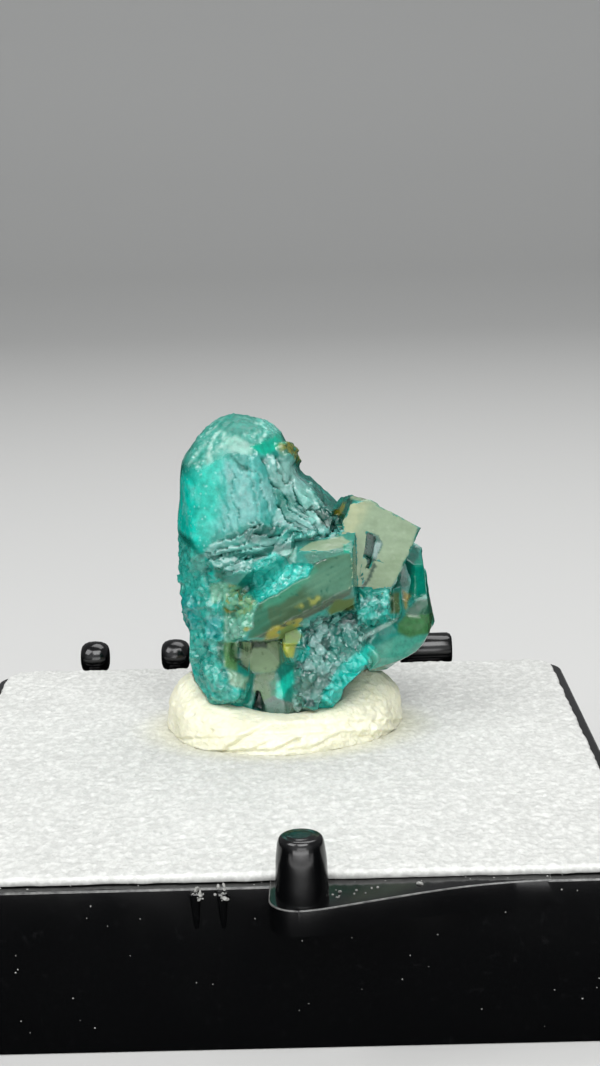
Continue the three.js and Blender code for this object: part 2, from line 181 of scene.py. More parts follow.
for rib_x in (-2.86, -1.76):
    rib = bmesh.new()
    bmesh.ops.create_cube(rib, size=1)
    bmesh.ops.scale(rib, vec=(0.44 * MM, 0.9 * MM, 1.7 * MM), verts=rib.verts)
    bmesh.ops.translate(rib, vec=(rib_x * MM, -15.8 * MM, 6.3 * MM), verts=rib.verts)
    tip = [v for v in rib.verts if v.co.z < 6 * MM]
    bmesh.ops.scale(rib, vec=(0.5, 0.5, 1), verts=tip,
                    space=Matrix.Translation(Vector((-rib_x, 15.6, -6)) * MM))
    bevel_sharp(rib, 0.09 * MM)
    add_to(base, rib)

ball = [(-0.8, 0), (-0.8, 0.5), (-0.74, 0.68), (-0.6, 0.82), (-0.35, 0.92), (0, 0.95), (0.35, 0.92),
        (0.6, 0.82), (0.74, 0.68), (0.8, 0.5), (0.8, 0)]
roll = [(-1.5, 0), (-1.5, 0.7), (-1.42, 0.86), (-1.25, 0.94), (1.25, 0.94), (1.42, 0.86), (1.5, 0.7),
        (1.5, 0)]
for ear_x, ear_profile, web_width in ((-10.8, ball, 1.1), (-6.1, ball, 1.1), (8.5, roll, 2.5)):
    middle = HINGE + Vector((ear_x * MM, 0, 0))
    add_to(base, turned([middle + Vector((x, 0, r)) * MM for x, r in ear_profile], middle, (1, 0, 0), 28))
    web = bmesh.new()
    bmesh.ops.create_cube(web, size=1)
    bmesh.ops.scale(web, vec=(web_width * MM, 1.7 * MM, 1.2 * MM), verts=web.verts)
    bmesh.ops.translate(web, vec=(ear_x * MM, 16.35 * MM, 6.55 * MM), verts=web.verts)
    bevel_sharp(web, 0.12 * MM)
    add_to(base, web)

black, plastic = new_material("glossy_black_polystyrene")
place = wired(black, "TexCoord", {}).outputs["Object"]
height = wired(black, "SeparateXYZ", {"Vector": place}).outputs["Z"]
handling = speckle(black, place, 260, 6)
dullness = ranged(black, handling, 0.35, 0.75, 0.12, 0.22)
rubbed = ranged(black, height, 7.5 * MM, 8.4 * MM, 0, 0.03)
haze = speckle(black, place, 2600, 3)
feed(black, plastic, {
    "IOR": 1.55,
    "Base Color": tinted(black, haze, (0.0011, 0.0012, 0.0014), (0.0045, 0.0045, 0.005), 0.62, 0.8),
    "Roughness": wired(black, "Math", {0: dullness, 1: rubbed}).outputs["Value"],
    "Normal": bumped(black, handling, 0.05, 0.05)})

# The rim and the edge of the ledge get a lighter grey copy of the black: a painted highlight along these
# edges.
edge_highlight = black.copy()
edge_highlight.name = "edge_highlight_black_polystyrene"
# Painted highlight: the copy's colours are lifted from near black to grey.
ramp = next(n for n in edge_highlight.node_tree.nodes if n.bl_idname == "ShaderNodeValToRGB").color_ramp
ramp.elements[0].position, ramp.elements[1].position = 0.35, 0.65
ramp.elements[0].color = (0.04, 0.04, 0.04, 1)
ramp.elements[1].color = (0.13, 0.13, 0.125, 1)
box_base = finished("black_box_base", base, black)
box_base.data.materials.append(edge_highlight)
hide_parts("box_base")
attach(box_base, "root")

# Dust: pale crumbs of foam and lint that cling to the black plastic, thickest on the latch ledge,
# on the tops of the two ribs and along the rim, with a few scattered over the front wall.
dust = bmesh.new()
lint = random.Random(4)
spots = [(lint.uniform(2.6, 8.6), lint.uniform(-17.7, -15.4), 7.34, size)
         for size in [0.16] * 16 + [0.06] * 40]
spots = [s for s in spots if -18.0 + 0.38 * (s[0] - 1.9) < s[1] < -16.6 + 0.12 * (s[0] - 1.9)]
spots += [(x + lint.gauss(0, 0.14), -16.2 + lint.gauss(0, 0.06), 7.1 + lint.gauss(0, 0.16), size)
          for x in (-2.8, -1.72) for size in [0.2] * 4 + [0.08] * 9]
spots += [(lint.uniform(-15, 15), lint.uniform(-15.8, -15.0), 7.31, 0.05) for _ in range(60)]
for _ in range(44):
    z = lint.uniform(0.6, 6.9)
    spots.append((lint.uniform(-15, 15), -16 + 0.3 * (1 - z / 7.3) - 0.005, z, 0.04))
for x, y, z, size in spots:
    r = size * MM * lint.uniform(0.5, 1.2)
    turn = Matrix.Rotation(lint.uniform(0, 6), 4, (lint.random(), lint.random(), lint.random() + 0.1))
    squeeze = Matrix.Diagonal((1, lint.uniform(0.4, 1), lint.uniform(0.4, 0.9), 1))
    bmesh.ops.create_icosphere(dust, subdivisions=1, radius=r,
                               matrix=Matrix.Translation(Vector((x, y, z)) * MM) @ turn @ squeeze)
crumb, crumb_face = new_material("pale_dust")
shade = wired(crumb, "TexNoise", {"Vector": wired(crumb, "TexCoord", {}).outputs["Object"], "Scale": 900})
feed(crumb, crumb_face, {
    "Roughness": 0.4,
    "Base Color": tinted(crumb, shade.outputs["Fac"], (0.10, 0.10, 0.095), (0.42, 0.42, 0.40))})
dust_piece = finished("dust_on_base", dust, crumb)
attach(dust_piece, "root")

# Foam pad: a block of fine-celled white foam cut a little too big for the tray and pressed in, so its
# torn upper edge spreads over the rim. The cut surface is a mass of tiny open cells that glitter like
# sugar. Its cut sides are darkened as painted shade, and the foam is tinted yellow close around the putty.
PAD_HALF, PAD_TOP, PAD_CORNER, PAD_EDGE, DRAWN_BACK = 15.62, 7.66, 1.4, 0.13, 0.16
RING_X, RING_Y, RING_LEFT, RING_RIGHT, RING_DEEP = 0.5, 4.2, 5.8, 5.55, 4.5
pad = bmesh.new()
CELLS = 284
bmesh.ops.create_grid(pad, x_segments=CELLS, y_segments=CELLS, size=PAD_HALF * MM)
for v in pad.verts:
    x, y = v.co.x / MM, v.co.y / MM
    torn = [0.09 * noise.noise((t * 0.55, side, 3.1)) + 0.05 * noise.noise((t * 1.9, side, 8.4))
            for t, side in ((y, math.copysign(2, x)), (x, math.copysign(5, y)))]
    x, y = x * (1 + (torn[0] - DRAWN_BACK) / PAD_HALF), y * (1 + (torn[1] - DRAWN_BACK) / PAD_HALF)
    half = Vector((PAD_HALF - DRAWN_BACK + torn[0], PAD_HALF - DRAWN_BACK + torn[1]))
    ax, ay = abs(x), abs(y)
    qx, qy = ax - (half.x - PAD_CORNER), ay - (half.y - PAD_CORNER)
    reach = min(half.x - ax, half.y - ay)
    if qx > 0 and qy > 0:
        reach = PAD_CORNER - math.hypot(qx, qy)
        if reach < 0:
            pull = PAD_CORNER / math.hypot(qx, qy)
            ax, ay = half.x - PAD_CORNER + qx * pull, half.y - PAD_CORNER + qy * pull
    reach = max(0.0, reach)
    drop = 0.0
    if reach < PAD_EDGE:
        drop = PAD_EDGE - math.sqrt(max(0.0, PAD_EDGE ** 2 - (PAD_EDGE - reach) ** 2))
    swell = 0.05 * noise.noise((x * 0.18, y * 0.18, 1.7))
    gaps, seeds = noise.voronoi((x * 4.2, y * 3.4, 0.5))
    grain = 0.08 * (0.5 - gaps[0]) + 0.05 * noise.noise(seeds[0] * 5.1)
    grain += 0.02 * noise.noise((x * 5.9, y * 3.5, 2))
    high = PAD_TOP - drop + (swell + grain) * (1 - drop / PAD_EDGE)
    v.co = Vector((math.copysign(ax, x), math.copysign(ay, y), high)) * MM
for spread, low in ((1, 7.35), (0.945, 7.34), (0.975, 1.25)):
    rim = [e for e in pad.edges if e.is_boundary]
    skirt = bmesh.ops.extrude_edge_only(pad, edges=rim)["geom"]
    for v in skirt:
        if isinstance(v, bmesh.types.BMVert):
            v.co.x, v.co.y, v.co.z = v.co.x * spread, v.co.y * spread, low * MM
bmesh.ops.holes_fill(pad, edges=[e for e in pad.edges if e.is_boundary], sides=0)
bmesh.ops.recalc_face_normals(pad, faces=pad.faces)

white, foam_face = new_material("white_fine_foam")
place = wired(white, "TexCoord", {}).outputs["Object"]
height = wired(white, "SeparateXYZ", {"Vector": place}).outputs["Z"]
drawn_out = wired(white, "Mapping", {"Vector": place, "Scale": (1, 0.7, 1)}).outputs["Vector"]
cells = wired(white, "TexVoronoi", {"Vector": drawn_out, "Scale": 4200}).outputs["Distance"]
grain = speckle(white, drawn_out, 3600, 3)
tint = tinted(white, grain, (0.515, 0.52, 0.50), (0.66, 0.665, 0.64), 0.4, 0.7)
# Painted shade: below the top of the pad the colour drops to 45 per cent on the cut sides, standing in for
# shade on these upright faces.
side_shade = ranged(white, height, 7.35 * MM, 7.6 * MM, 0.45, 1)
side_shaded = wired(white, "VectorMath", {0: tint, "Scale": side_shade}, operation="SCALE").outputs["Vector"]
around = wired(white, "Mapping", {
    "Vector": place, "Scale": (1 / (RING_LEFT * MM), 1 / (RING_DEEP * MM), 0),
    "Location": (-RING_X / RING_LEFT, -RING_Y / RING_DEEP, 0)}).outputs["Vector"]
away = wired(white, "VectorMath", {0: around}, operation="LENGTH").outputs["Value"]
# The foam is tinted yellow-olive close around the putty.
near_putty = ranged(white, away, 1.0, 1.42, 0.34, 0, interpolation_type="SMOOTHSTEP")
tinged = wired(white, "Mix", {}, data_type="RGBA")
pits = bumped(white, cells, 0.3, 0.12)
feed(white, tinged, {"Factor": near_putty, 6: side_shaded, 7: (0.62, 0.60, 0.36, 1)})
feed(white, foam_face, {
    "Subsurface Weight": 0.25, "Subsurface Radius": (0.6 * MM, 0.6 * MM, 0.6 * MM), "Subsurface Scale": 1.0,
    "Base Color": tinged.outputs[2],
    "Roughness": ranged(white, speckle(white, place, 420, 3), 0, 1, 0.35, 0.95),
    "Normal": bumped(white, grain, 0.5, 0.08, Normal=pits)})
foam_pad = finished("white_foam_pad", pad, white, 70)
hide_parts("foam_pad")
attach(foam_pad, "root")

# Dioptase cluster: one natural intergrowth of copper silicate crystals, glassy blue-green, with flat
# faces, a broken stepped slope, a crumpled lip, drusy lower parts, thin ochre films and smooth faces
# painted beige as a painted reflection. It grew as one piece; the fractures and the sugar of small
# crystals are part of its own surface.
stone = bmesh.new()
stone.from_mesh(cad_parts["dioptase_cluster"].data)
bmesh.ops.remove_doubles(stone, verts=stone.verts, dist=1e-7)


def divide(shape, longest, from_front=False):
    long_edges = [e for e in shape.edges if e.calc_length() > longest * MM]
    if from_front:
        long_edges = [e for e in long_edges if min(v.normal.y for v in e.verts) < 0.1]
    bmesh.ops.subdivide_edges(shape, edges=long_edges, cuts=1, use_grid_fill=True)
    bmesh.ops.triangulate(shape, faces=[f for f in shape.faces if len(f.verts) > 3])


def blunt(shape, centre, radii, rounds):
    worn_part = [v for v in shape.verts
                 if sum(((a / MM - b) / r) ** 2 for a, b, r in zip(v.co, centre, radii)) < 1]
    for _ in range(rounds):
        bmesh.ops.smooth_vert(shape, verts=worn_part, factor=0.5, use_axis_x=True, use_axis_y=True,
                              use_axis_z=True)


for longest in (3.0, 1.5, 0.8, 0.42):
    divide(stone, longest)
# The upper crystal, the lobe at the right, the foot and the hidden back are worn blunt.
blunt(stone, (-1.4, 4.8, 20.8), (3.7, 5.4, 3.9), 16)
blunt(stone, (-3.8, 4.0, 17.4), (1.3, 3.2, 1.8), 8)
blunt(stone, (6.6, 4.0, 12.3), (2.0, 3.0, 1.9), 9)
blunt(stone, (-2.6, 3.2, 11.6), (2.3, 3.2, 4.4), 2)
blunt(stone, (1.0, 8.0, 13.0), (6.5, 3.0, 6.0), 3)
divide(stone, 0.24)
divide(stone, 0.13, from_front=True)
blunt(stone, (-1.4, 4.8, 20.6), (3.7, 5.4, 4.3), 8)
blunt(stone, (-3.9, 4.2, 20.9), (1.3, 3.4, 1.8), 40)
blunt(stone, (2.9, 2.4, 11.4), (2.6, 2.6, 3.0), 4)
stone.normal_update()
stone.verts.index_update()
spots = np.array([v.co for v in stone.verts]) / MM
outward = np.array([v.normal for v in stone.verts])
blotch = np.array([noise.noise(Vector(p) * 1.3) + 0.5 * noise.noise(Vector(p) * 3.1) for p in spots])
speck = np.array([noise.noise(Vector(p) * 6.5) for p in spots])
streak = np.array([noise.noise((p[0] * 4.2 - p[2] * 2.2, p[1] * 2, p[2] * 1.1 + p[0] * 0.6)) for p in spots])
grating = np.array([noise.noise((p[0] * 0.7 + p[2] * 0.35, p[1], p[2] * 7 - p[0] * 3.6)) for p in spots])
brushed = np.array([noise.noise((p[0] * 1.1, p[1], p[2] * 6.5 + p[0] * 0.6)) for p in spots])
fleck = np.array([noise.noise(Vector(p) * 3.3 + Vector((9, 4, 2))) for p in spots])

# Parts of the front are drawn as the eye sees them: every point is carried along the line of sight to
# an upright plane 2 mm behind the middle, where each part has an outline in millimetres (x, z).
EYE, SIGHT_PLANE = Vector((2.746, -84.637, 36.105)), 2
eye = np.array(EYE)
reach = (SIGHT_PLANE - eye[1]) / (spots[:, 1] - eye[1])
seen = eye[[0, 2]] + (spots[:, [0, 2]] - eye[[0, 2]]) * reach[:, None]
frontal = np.clip((0.5 - outward[:, 1]) / 0.3, 0, 1)
towards = np.einsum("ij,ij->i", outward, eye - spots) > 0


def drawn(outline, soft=0.2, ragged=0.12, all_round=False):
    corners = np.array(outline)
    gap = np.full(len(seen), 1e9)
    within = np.zeros(len(seen), dtype=bool)
    for a, b in zip(corners, np.roll(corners, -1, axis=0)):
        along = np.clip((seen - a) @ (b - a) / ((b - a) @ (b - a)), 0, 1)
        gap = np.minimum(gap, np.linalg.norm(seen - a - along[:, None] * (b - a), axis=1))
        crosses = (a[1] > seen[:, 1]) != (b[1] > seen[:, 1])
        height = np.where(crosses, b[1] - a[1], 1)
        within ^= crosses & (seen[:, 0] < a[0] + (b[0] - a[0]) * (seen[:, 1] - a[1]) / height)
    depth = np.where(within, gap, -gap) + ragged * blotch
    weight = np.clip(0.5 + depth / soft, 0, 1)
    weight = weight * weight * (3 - 2 * weight)
    return weight if all_round else weight * frontal


noise.seed_set(3)


# The tone it returns is pale or dark by each facet's random lean and darker along the creases between facets;
# where painted, that crease darkening is painted shade.
def facets(weight, size, stretch=(1, 1, 1), lean=0.0, tilt=0.8, crease=0.08):
    push, tone = np.zeros(len(spots)), np.zeros(len(spots))
    c, s = math.cos(math.radians(lean)), math.sin(math.radians(lean))
    for i in np.flatnonzero(weight > 0.01):
        x, y, z = spots[i]
        q = Vector(((c * x + s * z) / stretch[0], y / stretch[1], (c * z - s * x) / stretch[2])) / size
        gaps, seeds = noise.voronoi(q)
        lie = noise.noise_vector(seeds[0] * 7.3)
        split = min(1.0, (gaps[1] - gaps[0]) / 0.14)
        push[i] = size * (tilt * lie.dot(q - seeds[0]) + 0.2 * lie.x - crease * (1 - split))
        tone[i] = 1.6 * lie.y - 0.5 * (1 - split)
    return push * weight, tone * weight


slope = drawn([(-0.19, 21.88), (0.61, 21.97), (1.29, 21.6), (1.73, 20.89), (2.41, 20.46), (3.36, 19.56),
               (3.62, 18.26), (1.64, 17.84), (0.28, 18.59), (0.55, 19.76)])
lip = drawn([(-3.12, 17.38), (-0.99, 18.8), (0.51, 18.58), (1.65, 18.14), (3.62, 18.38), (3.27, 17.97),
             (-0.7, 17.13), (-0.84, 16.37), (-2.25, 15.99), (-2.92, 16.78)])
hollow = drawn([(-0.71, 16.72), (0.23, 17.17), (1.14, 16.67), (2.13, 16.52), (1.82, 16.0), (0.88, 15.54),
                (-0.49, 14.78), (-0.76, 15.41)], all_round=True) * towards
blocks = drawn([(-3.03, 15.23), (-2.43, 15.81), (-1.45, 15.55), (-0.72, 14.75), (-0.88, 13.49),
                (-1.42, 12.96), (-2.35, 12.78), (-2.31, 14.25)])
left = drawn([(-4.6, 18.36), (-3.03, 16.78), (-2.26, 15.69), (-2.44, 11.47), (-1.04, 10.45), (-1.78, 9.2),
              (-3.4, 9.2), (-4.6, 11.51), (-4.9, 14.31)])
sugar = drawn([(1.52, 13.6), (2.7, 13.99), (4.22, 14.19), (5.07, 12.85), (4.4, 11.77), (3.0, 9.1),
               (0.94, 9.2), (1.11, 11.62), (1.61, 12.82)])
knot = drawn([(4.33, 14.79), (5.76, 15.23), (5.99, 14.03), (4.79, 13.7), (4.29, 13.35)])
cap = drawn([(-3.93, 21.69), (-2.77, 23.51), (-1.59, 24.6), (-0.24, 24.2), (0.77, 23.12), (-0.17, 22.51),
             (-1.31, 22.6), (-2.14, 22.05), (-3.19, 21.49)], soft=0.5)
stain = drawn([(0.52, 22.49), (1.32, 22.59), (1.9, 22.06), (1.52, 21.54), (0.72, 21.79)])
veil = drawn([(-1.8, 21.69), (-0.3, 22.0), (0.35, 20.93), (0.55, 19.76), (0.29, 18.94), (-0.88, 18.5),
              (-2.28, 18.3), (-2.09, 20.18)], soft=1.1, ragged=0.3)


# The tone it returns is pale or dark by each step's random lean and darkest at the foot of each step; where
# painted, that darkening is painted shade.
def terraces(weight, lean, size, wave, high):
    push, tone = np.zeros(len(spots)), np.zeros(len(spots))
    c, s = math.cos(math.radians(lean)), math.sin(math.radians(lean))
    for i in np.flatnonzero(weight > 0.01):
        x, y, z = spots[i]
        along, across = c * x + s * z, c * z - s * x
        bend = (noise.noise((along * 0.9, across * 0.9, 4.0))
                + 0.45 * noise.noise((along * 2.3, across * 2.3, y)))
        step = across / size + wave * bend
        rise = step - math.floor(step)
        lie = noise.noise((math.floor(step) * 3.7, along * 0.55, 7.0))
        push[i] = high * (rise - 0.5 - 0.9 * max(0.0, 1 - rise / 0.16)) + 0.5 * high * lie
        tone[i] = 1.3 * lie + 0.25 - 1.7 * max(0.0, 1 - rise / 0.2)
    return push * weight, tone * weight


def ridges(weight, lean, lengthways, crossways, high):
    push = np.zeros(len(spots))
    c, s = math.cos(math.radians(lean)), math.sin(math.radians(lean))
    for i in np.flatnonzero(weight > 0.01):
        x, y, z = spots[i]
        q = Vector(((c * x + s * z) * lengthways, y * crossways, (c * z - s * x) * crossways))
        push[i] = high * (0.35 - abs(noise.noise(q)) - 0.4 * abs(noise.noise(q * 2.3)))
    return push * weight


plates, plate_tone = terraces(slope, -54, 0.62, 0.75, 0.2)
folds, fold_tone = terraces(lip, 14, 0.42, 0.8, 0.19)
shards, shard_tone = facets(hollow, 0.3, tilt=1.0, crease=0.15)
lumps, lump_tone = facets(left, 0.5, tilt=0.4)
grains, grain_tone = facets(sugar, 0.5, tilt=0.6, crease=0.1)
cubes, cube_tone = facets(blocks, 0.42, tilt=0.8)
crust, crust_tone = facets(knot, 0.34, tilt=0.8)
splinters, splinter_tone = terraces(veil, 106, 0.6, 0.9, 0.075)
push = (0.010 * blotch + 0.004 * speck + plates + folds + shards - 0.22 * hollow
        + lumps + grains + cubes + crust)
push += splinters + facets(cap, 0.24, tilt=0.4, crease=0.06)[0]
push += facets(slope, 0.5, stretch=(2, 1, 1), lean=-54, tilt=0.3, crease=0)[0]
push += facets(lip, 0.36, stretch=(1.8, 1, 1), lean=12, tilt=0.35)[0]
push += facets(left, 0.22, tilt=0.25, crease=0.05)[0] + facets(sugar, 0.22, tilt=0.5)[0]
push += (ridges(cap, 62, 0.8, 3.0, 0.07) + facets(stain, 0.3, tilt=0.8)[0] + 0.28 * stain
         + ridges(veil, -70, 0.9, 3.4, 0.07))
rear = np.clip((outward[:, 1] - 0.1) / 0.4, 0, 1)
backs, back_tone = facets(rear, 1.0, tilt=0.3, crease=0.06)
push += backs + facets(rear, 0.42, tilt=0.25, crease=0.04)[0]
push += 0.16 * np.clip((spots[:, 2] - 19.5) / 2, 0, 1) * np.clip((1.4 - spots[:, 0]) / 0.8, 0, 1)
wedge = drawn([(-0.87, 17.2), (1.41, 17.85), (3.38, 18.01), (1.63, 17.46), (0.23, 17.05), (-0.71, 16.72)])
push *= 1 - 0.9 * wedge
worn = np.zeros(len(spots))
for e in stone.edges:
    if e.is_manifold and e.calc_face_angle() > 0.6:
        for v in e.verts:
            worn[v.index] = 1
push -= worn * 0.06 * np.clip(fleck + 0.3, 0, 1)
placed = spots + outward * push[:, None]
# The beige face in the recess under the prism is flat, and the small gap at the foot runs deep.
aim = np.array([-0.1, -0.98, 0.14])
flat = drawn([(-1.6, 12.66), (0.47, 12.79), (0.55, 11.75), (0.16, 11.09), (-0.91, 11), (-1.64, 11.57)],
             soft=0.12, ragged=0.02, all_round=True)[:, None]
flat[(placed[:, 1] > 3.8) | (outward[:, 2] < -0.35)] = 0
under = drawn([(-2.02, 12.75), (0.47, 12.75), (0.55, 11.75), (0.16, 11.09), (-0.91, 11), (-2.06, 11.58)],
              soft=0.05, ragged=0, all_round=True) * (outward[:, 2] < -0.35) * (placed[:, 1] < 3)
sight = placed - eye
onto = ((np.array([-0.8, 2.5, 11.6]) - eye) @ aim) / (sight @ aim)
placed += flat * sight * (onto[:, None] - 1)
gap = drawn([(-0.82, 10.13), (-0.7, 10.08), (-0.49, 9.34), (-0.55, 8.85), (-1.02, 9.1)], soft=0.12,
            ragged=0.05)
placed[:, 1] += 0.9 * gap
# At the lower right the stone stands clear of the putty: nothing hangs below the cyan band or the lobe.
placed[:, 2] += under * np.clip(12.71 - seen[:, 1], 0, 1)
reach = (SIGHT_PLANE - eye[1]) / (placed[:, 1] - eye[1])
across, up = (eye[[0, 2]] + (placed[:, [0, 2]] - eye[[0, 2]]) * reach[:, None]).T
lower_edge = np.interp(across, [4.6, 4.85, 5.68, 6.15, 7.1, 7.69, 7.93],
                       [11.38, 11.03, 11.13, 11.46, 11.94, 12.51, 12.95])
lift = np.clip(lower_edge - up, 0, 2)
lift[(across < 4.6) | (across > 8.33)] = 0
trim = np.clip(across - np.interp(up, [9.0, 10.21, 11.1], [3.2, 3.54, 4.5]), 0, 2)
trim[(up > 11.1) | (across >= 4.6)] = 0
left_edge = np.interp(up, [9.53, 9.88, 10.77, 11.88, 13.36, 13.88], [-3.26, -3.3, -3.86, -4.11, -4.02, -4.36])
waist = np.clip(left_edge - across, 0, 0.6) * (up > 9.53) * (up < 13.88)
placed[:, 0] += waist - trim
placed[:, 1] += 0.4 * trim
placed[:, 2] += lift
for v, p in zip(stone.verts, placed):
    v.co = Vector(p) * MM
stone.normal_update()

glassy, glass_face = new_material("glassy_dioptase")
dulled, dulled_face = new_material("dulled_dioptase")
cluster = finished("dioptase_crystals", stone, glassy, 24)
cluster.data.materials.append(dulled)
mesh = cluster.data
facing = np.empty(len(mesh.polygons) * 3)
mesh.polygons.foreach_get("normal", facing)
facing = np.repeat(facing.reshape(-1, 3), 3, axis=0)
corner = np.empty(len(mesh.loops), dtype=np.int32)
mesh.loops.foreach_get("vertex_index", corner)


def turned_to(azimuth, tilt, spread=14):
    a, t = math.radians(azimuth), math.radians(tilt)
    aim = np.array([math.sin(a) * math.cos(t), -math.cos(a) * math.cos(t), math.sin(t)])
    return np.clip((spread - np.degrees(np.arccos(np.clip(facing @ aim, -1, 1)))) / 5, 0, 1)


def linear(rgb):
    return np.array([(c / 255) ** 2.2 for c in rgb])


colour = np.tile(linear((18, 132, 118)), (len(corner), 1))
polish = np.full(len(corner), 0.2)


def paint(weight, rgb, rough=None):
    if len(weight) == len(spots):
        weight = weight[corner]
    colour[:] += (linear(rgb) - colour) * weight[:, None]
    if rough is not None:
        polish[:] += (rough - polish) * weight


def patch(outline, rgb, rough, amount=1, **edge):
    paint(drawn(outline, **edge) * amount, rgb, rough)


paint(np.clip(0.5 + 0.9 * blotch, 0, 1) * 0.55, (46, 158, 144))
paint(np.clip(speck * 2.0 - 0.5, 0, 1) * 0.3, (96, 190, 178))
# The hidden back: mottled deeper green with paler facets, painted shade in the creases between facets and a
# thin dusty film.
paint(rear * np.clip(1.8 * back_tone, 0, 1) * 0.7, (96, 172, 156), 0.2)
paint(rear * np.clip(-1.8 * back_tone - 0.2, 0, 1) * 0.8, (8, 92, 82), 0.14)
paint(rear * np.clip(2.2 * fleck - 0.5, 0, 1) * 0.7, (134, 150, 112), 0.35)
paint(rear * np.clip(2.2 * speck - 0.6, 0, 1) * 0.6, (150, 204, 192), 0.25)
# Upper crystal: deep clear left side, a middle painted brighter as a painted glow of light inside the
# crystal, with painted glints; pale veil with fine streaks and painted shade at the foot of its steps;
# whitish worn cap with painted glints.
patch([(-4.8, 19.31), (-4.3, 21.29), (-3.44, 21.04), (-3.31, 19.98), (-3.53, 18.81), (-2.99, 17.85),
       (-3.6, 17.04), (-4.6, 17.88)], (2, 214, 194), 0.12, soft=0.6)
patch([(-3.54, 21.39), (-2.25, 22.17), (-1.58, 21.68), (-1.85, 20.41), (-2.37, 18.78), (-3.22, 17.86),
       (-3.52, 19.04)], (50, 196, 178), 0.2, soft=0.9)
painted_glow = drawn([(-4.53, 19.31), (-4.33, 20.48), (-3.88, 21.57), (-2.83, 21.95), (-1.68, 21.92),
              (-1.75, 20.17), (-2.5, 18.55), (-3.12, 17.38), (-3.71, 17.16), (-4.37, 18.01)], soft=0.5)
paint(painted_glow * np.clip(1.5 * blotch, 0, 1) * 0.8, (104, 206, 194), 0.2)
paint(painted_glow * np.clip(-1.6 * blotch - 0.2, 0, 1) * 0.7, (4, 158, 142), 0.14)
glint = np.array([noise.noise(Vector(p) * 11) for p in spots])
paint(painted_glow * np.clip(3.2 * glint - 1.3, 0, 1), (168, 232, 222), 0.2)
paint(veil, (84, 174, 166), 0.2)
paint(veil * np.clip(1.3 * splinter_tone, 0, 1) * 0.8, (146, 190, 186), 0.25)
paint(veil * np.clip(-1.2 * splinter_tone - 0.3, 0, 1) * 0.7, (18, 128, 116), 0.2)
paint(veil * np.clip(1.5 * streak, 0, 1) * 0.7, (150, 200, 194), 0.25)
paint(cap, (62, 160, 144), 0.45)
paint(cap * np.clip(2.2 * streak + 0.5 * speck - 0.2, 0, 1), (178, 214, 200), 0.5)
paint(cap * np.clip(-2.4 * streak - 0.5, 0, 1), (16, 142, 124), 0.3)
paint(cap * np.clip(3.2 * glint - 1.2, 0, 1), (206, 232, 224), 0.3)
patch([(-2.04, 23.89), (-1.37, 24.28), (-0.46, 23.96), (-0.5, 23.04), (-1.53, 22.96), (-2.26, 23.32)],
      (2, 138, 122), 0.5, amount=0.9, soft=0.3)
patch([(-0.3, 23.79), (0.33, 23.65), (0.77, 23.12), (-0.04, 22.92)], (124, 210, 194), 0.2, amount=0.7,
      soft=0.3)
patch([(-2.01, 22.83), (-1.3, 22.95), (-0.61, 22.47), (-0.76, 22.1), (-1.67, 22.27)], (160, 200, 184), 0.5,
      amount=0.7, soft=0.2)
patch([(-4.31, 18.36), (-3.57, 17.87), (-3.09, 16.78), (-3.96, 16.81), (-4.35, 17.53)], (2, 118, 104), 0.14,
      soft=0.3)
patch([(-0.75, 22.41), (0.65, 23.01), (0.98, 22.54), (-0.07, 22.05)], (2, 172, 144), 0.08)
patch([(-1.62, 22.03), (-0.72, 21.43), (-0.9, 21.22), (-1.35, 21.5)], (8, 104, 92), 0.1, soft=0.1)
paint(stain * np.clip(0.7 + 1.5 * fleck, 0, 1), (150, 138, 58), 0.35)
paint(stain * np.clip(1.6 * speck, 0, 1), (60, 84, 44), 0.2)
# Broken slope and crumpled lip: clean glassy fractures, with painted silver highlights on the plates and
# folds that catch the light and painted deep green shade in the creases and where they do not catch the
# light.
paint(slope, (80, 150, 138), 0.12)
paint(slope * np.clip(1.6 * plate_tone, 0, 1), (152, 194, 188), 0.14)
paint(slope * np.clip(-1.4 * plate_tone - 0.1, 0, 1), (10, 96, 84), 0.1)
patch([(1.55, 20.49), (2.17, 20.3), (2.88, 18.87), (2.13, 18.6), (1.69, 19.49)], (150, 204, 192), 0.12,
      amount=0.7, soft=0.15)
patch([(2.32, 19.3), (3.07, 19.28), (3.34, 18.5), (2.58, 18.46)], (16, 84, 72), 0.3, soft=0.15)
patch([(0.61, 20.11), (1.25, 20.15), (1.57, 19.43), (1.05, 19.15), (0.65, 19.52)], (24, 124, 110), 0.3,
      amount=0.8, soft=0.2)
patch([(0.49, 21.68), (1.52, 21.42), (1.54, 20.43), (0.68, 20.28)], (150, 190, 180), 0.14, amount=0.6,
      soft=0.2)
paint(lip, (72, 160, 147), 0.12)
paint(lip * np.clip(1.6 * fold_tone, 0, 1), (142, 190, 182), 0.14)
paint(lip * np.clip(-1.4 * fold_tone - 0.1, 0, 1), (12, 100, 90), 0.1)
paint(drawn([(-3.01, 17.38), (-2.18, 17.83), (-0.93, 17.08), (-0.96, 16.37), (-2.25, 16.05),
             (-2.86, 16.66)], soft=0.3) * np.clip(0.4 + fleck, 0, 0.8), (40, 120, 106), 0.12)
patch([(-1.35, 18.28), (-0.41, 18.72), (0.5, 18.4), (0.25, 17.88), (-0.91, 17.67)], (50, 100, 92), 0.2,
      amount=0.8, soft=0.2)
paint(wedge, (40, 106, 96), 0.35)
